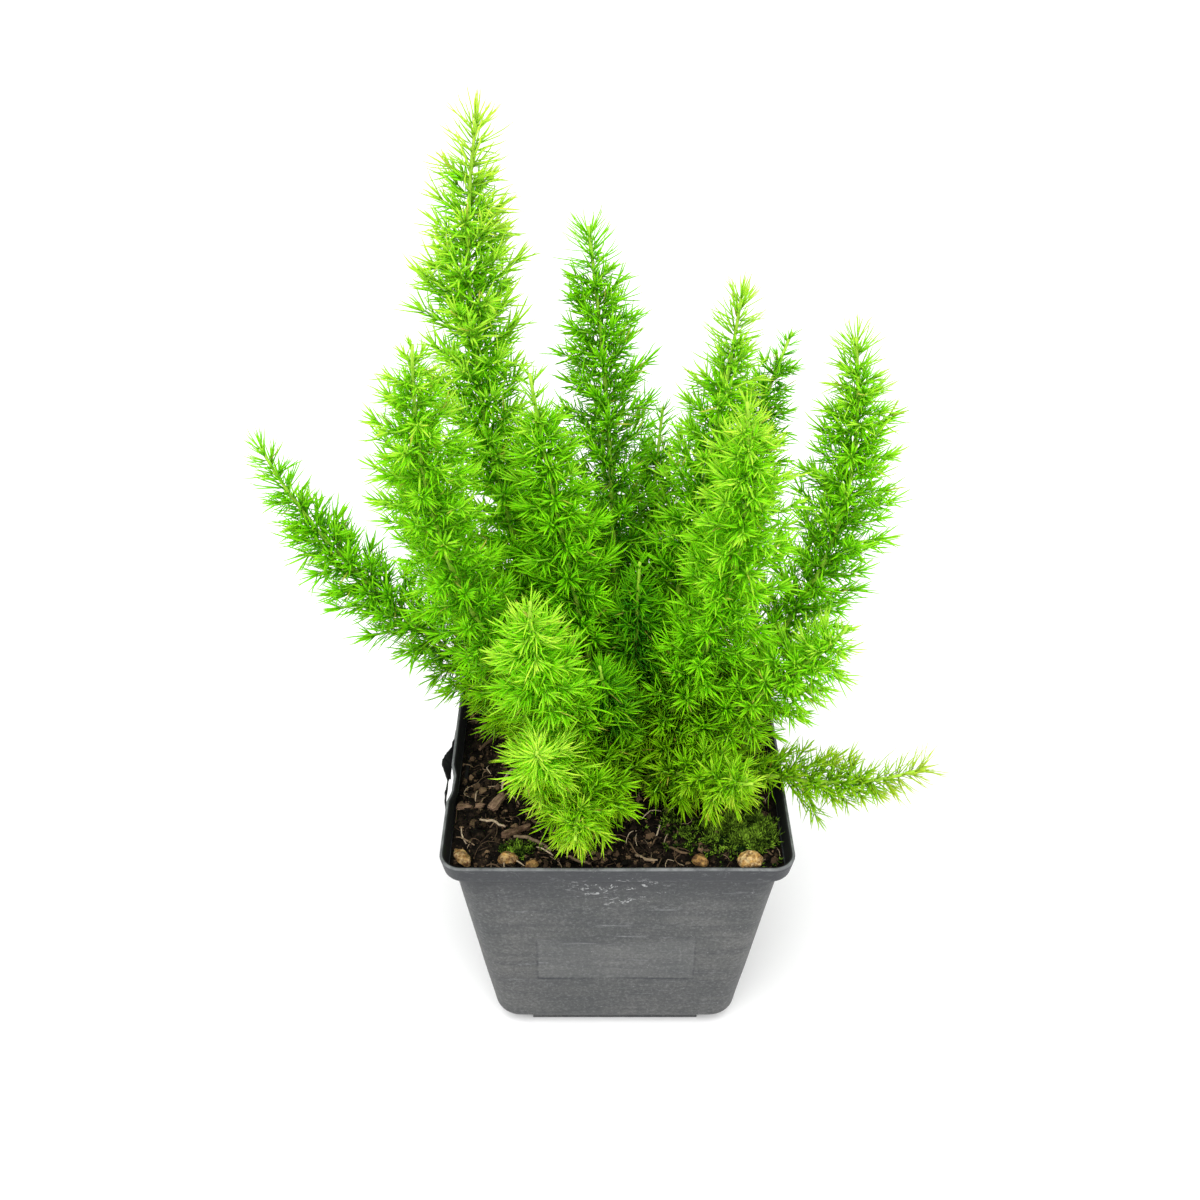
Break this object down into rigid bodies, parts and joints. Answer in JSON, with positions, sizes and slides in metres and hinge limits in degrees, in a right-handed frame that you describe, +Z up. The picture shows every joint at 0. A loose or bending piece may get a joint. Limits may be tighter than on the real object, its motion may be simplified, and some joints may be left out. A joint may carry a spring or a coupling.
{
  "type": "potted foxtail fern",
  "caption": "Foxtail fern with upright bottle-brush fronds of fine needles, standing in potting mix in a square tapered nursery pot with a wide collar.",
  "frame": {"origin": "centre of the pot's foot, on the surface that the pot stands on", "axes": "+Z up, -Y to the pot's front wall with the label field, +X to the viewer's right"},
  "size_m": [0.1919, 0.1421, 0.2637],
  "materials": {
    "pot_plastic": "matt, mid grey, scuffed and dusty",
    "potting_mix": null,
    "rhizome": "pale, fleshy",
    "foliage": null,
    "pebble_stone": "tan and orange, rough",
    "bark": "dry, rough",
    "moss": null
  },
  "bodies": {
    "root": {"bark_chip_back": "bark", "bark_chip_dark": "bark", "bark_chip_light": "bark", "bark_chip_tan": "bark", "frond_arching_left": "foliage", "frond_back_left": "foliage", "frond_back_middle": "foliage", "frond_back_outer_left": "foliage", "frond_back_right": "foliage", "frond_centre": "foliage", "frond_centre_front": "foliage", "frond_dark_right": "foliage", "frond_drooping_front": "foliage", "frond_front_left": "foliage", "frond_front_right": "foliage", "frond_inner_left": "foliage", "frond_low_back": "foliage", "frond_low_back_left": "foliage", "frond_low_front_right": "foliage", "frond_low_right": "foliage", "frond_outer_right": "foliage", "frond_rosette_front": "foliage", "frond_short_front": "foliage", "frond_spreading_right": "foliage", "frond_tall_left": "foliage", "frond_tall_middle": "foliage", "frond_tall_right": "foliage", "moss_cushion": "moss", "pebble_brown": "pebble_stone", "pebble_corner": "pebble_stone", "pebble_large": "pebble_stone", "pebble_orange": "pebble_stone", "pebble_small": "pebble_stone", "pot": "pot_plastic", "root_crown": "rhizome", "soil": "potting_mix"}
  },
  "joints": []
}
